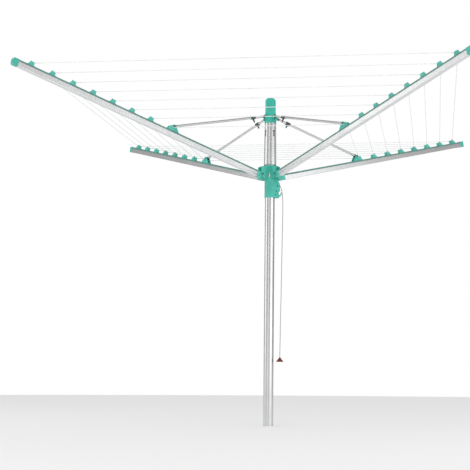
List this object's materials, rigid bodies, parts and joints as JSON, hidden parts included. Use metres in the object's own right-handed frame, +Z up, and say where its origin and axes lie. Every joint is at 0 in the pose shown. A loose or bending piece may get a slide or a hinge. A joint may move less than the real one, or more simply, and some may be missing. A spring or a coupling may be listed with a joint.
{
  "type": "rotary clothesline",
  "caption": "Rotary clothesline: tubular mast, sliding hub, folding arms with struts, concentric squares of line and a hanging pull cord.",
  "frame": {"origin": "centre of the mast's lower end", "axes": "+Z up along the mast; +X towards the pull cord and its housing; arms at 45 degrees to X and Y"},
  "size_m": [2.0326, 2.0326, 1.692],
  "materials": {
    "brushed_aluminium": "anodised, satin",
    "green_plastic": "moulded, fine grain",
    "dark_plastic": "moulded",
    "strut_steel": "zinc plated",
    "pin_steel": "bright",
    "line_pvc": "smooth cover over a textile core",
    "cord_braid": "braided",
    "pull_red": "moulded"
  },
  "bodies": {
    "mast": {"mast_tube": "brushed_aluminium", "upper_shell": "brushed_aluminium", "shell_spacers": "dark_plastic", "strut_bracket": "green_plastic", "bracket_pins": "pin_steel", "top_cap": "green_plastic", "pull_cord": "cord_braid", "pull_handle": "pull_red"},
    "hub": {"hub_body": "green_plastic", "hub_liner": "dark_plastic", "hub_sleeve": "green_plastic", "cord_housing": "green_plastic", "housing_axles": "pin_steel", "housing_screws": "pin_steel", "arm_pins": "pin_steel", "lever_spring": "pin_steel"},
    "pulley": {"cord_pulley": "dark_plastic"},
    "lever": {"brake_lever": "green_plastic"},
    "strut_1": {"strut_tube_1": "strut_steel", "strut_ends_1": "dark_plastic", "hanger_hook_1": "dark_plastic"},
    "arm_1": {"arm_profile_1": "brushed_aluminium", "arm_strip_1": "green_plastic", "line_guides_1": "green_plastic", "arm_end_cap_1": "green_plastic", "arm_hinge_plug_1": "green_plastic", "strut_joint_1": "green_plastic", "drying_lines_1": "line_pvc"},
    "strut_2": {"strut_tube_2": "strut_steel", "strut_ends_2": "dark_plastic", "hanger_hook_2": "dark_plastic"},
    "arm_2": {"arm_profile_2": "brushed_aluminium", "arm_strip_2": "green_plastic", "line_guides_2": "green_plastic", "arm_end_cap_2": "green_plastic", "arm_hinge_plug_2": "green_plastic", "strut_joint_2": "green_plastic", "drying_lines_2": "line_pvc"},
    "strut_3": {"strut_tube_3": "strut_steel", "strut_ends_3": "dark_plastic", "hanger_hook_3": "dark_plastic"},
    "arm_3": {"arm_profile_3": "brushed_aluminium", "arm_strip_3": "green_plastic", "line_guides_3": "green_plastic", "arm_end_cap_3": "green_plastic", "arm_hinge_plug_3": "green_plastic", "strut_joint_3": "green_plastic", "drying_lines_3": "line_pvc"},
    "strut_4": {"strut_tube_4": "strut_steel", "strut_ends_4": "dark_plastic", "hanger_hook_4": "dark_plastic"},
    "arm_4": {"arm_profile_4": "brushed_aluminium", "arm_strip_4": "green_plastic", "line_guides_4": "green_plastic", "arm_end_cap_4": "green_plastic", "arm_hinge_plug_4": "green_plastic", "strut_joint_4": "green_plastic", "drying_lines_4": "line_pvc"}
  },
  "joints": [
    {"name": "hub_slide", "type": "slide", "parent": "mast", "child": "hub", "axis": [0, 0, 1], "range_m": [-0.8226, 0], "deforming": ["pull_cord"]},
    {"name": "pulley_spin", "type": "hinge", "parent": "hub", "child": "pulley", "pos_m": [0.043, 0, 1.23], "axis": [0, 1, 0], "continuous": true},
    {"name": "lever_pivot", "type": "hinge", "parent": "hub", "child": "lever", "pos_m": [0.036, 0, 1.204], "axis": [0, 1, 0], "range_deg": [0, 10], "stiffness_Nm_per_rad": 0.05, "springref_deg": -5.73, "deforming": ["lever_spring"]},
    {"name": "strut_pivot_1", "type": "hinge", "parent": "mast", "child": "strut_1", "pos_m": [0.0244, 0.0244, 1.59], "axis": [-0.7071, 0.7071, 0], "range_deg": [0, 73.8]},
    {"name": "arm_pivot_1", "type": "hinge", "parent": "strut_1", "child": "arm_1", "pos_m": [0.41564, 0.41564, 1.45985], "axis": [0.7071, -0.7071, 0], "range_deg": [0, 145.23], "deforming": ["drying_lines_1"]},
    {"name": "strut_pivot_2", "type": "hinge", "parent": "mast", "child": "strut_2", "pos_m": [-0.0244, 0.0244, 1.59], "axis": [-0.7071, -0.7071, 0], "range_deg": [0, 73.8]},
    {"name": "arm_pivot_2", "type": "hinge", "parent": "strut_2", "child": "arm_2", "pos_m": [-0.41564, 0.41564, 1.45985], "axis": [0.7071, 0.7071, 0], "range_deg": [0, 145.23], "deforming": ["drying_lines_2"]},
    {"name": "strut_pivot_3", "type": "hinge", "parent": "mast", "child": "strut_3", "pos_m": [-0.0244, -0.0244, 1.59], "axis": [0.7071, -0.7071, 0], "range_deg": [0, 73.8]},
    {"name": "arm_pivot_3", "type": "hinge", "parent": "strut_3", "child": "arm_3", "pos_m": [-0.41564, -0.41564, 1.45985], "axis": [-0.7071, 0.7071, 0], "range_deg": [0, 145.23], "deforming": ["drying_lines_3"]},
    {"name": "strut_pivot_4", "type": "hinge", "parent": "mast", "child": "strut_4", "pos_m": [0.0244, -0.0244, 1.59], "axis": [0.7071, 0.7071, 0], "range_deg": [0, 73.8]},
    {"name": "arm_pivot_4", "type": "hinge", "parent": "strut_4", "child": "arm_4", "pos_m": [0.41564, -0.41564, 1.45985], "axis": [-0.7071, -0.7071, 0], "range_deg": [0, 145.23], "deforming": ["drying_lines_4"]}
  ],
  "couplings": [
    {"joint": "strut_pivot_1", "follows": "hub_slide", "rad_per_m": -1.5659},
    {"joint": "arm_pivot_1", "follows": "hub_slide", "rad_per_m": -3.0813},
    {"joint": "strut_pivot_2", "follows": "hub_slide", "rad_per_m": -1.5659},
    {"joint": "arm_pivot_2", "follows": "hub_slide", "rad_per_m": -3.0813},
    {"joint": "strut_pivot_3", "follows": "hub_slide", "rad_per_m": -1.5659},
    {"joint": "arm_pivot_3", "follows": "hub_slide", "rad_per_m": -3.0813},
    {"joint": "strut_pivot_4", "follows": "hub_slide", "rad_per_m": -1.5659},
    {"joint": "arm_pivot_4", "follows": "hub_slide", "rad_per_m": -3.0813}
  ]
}
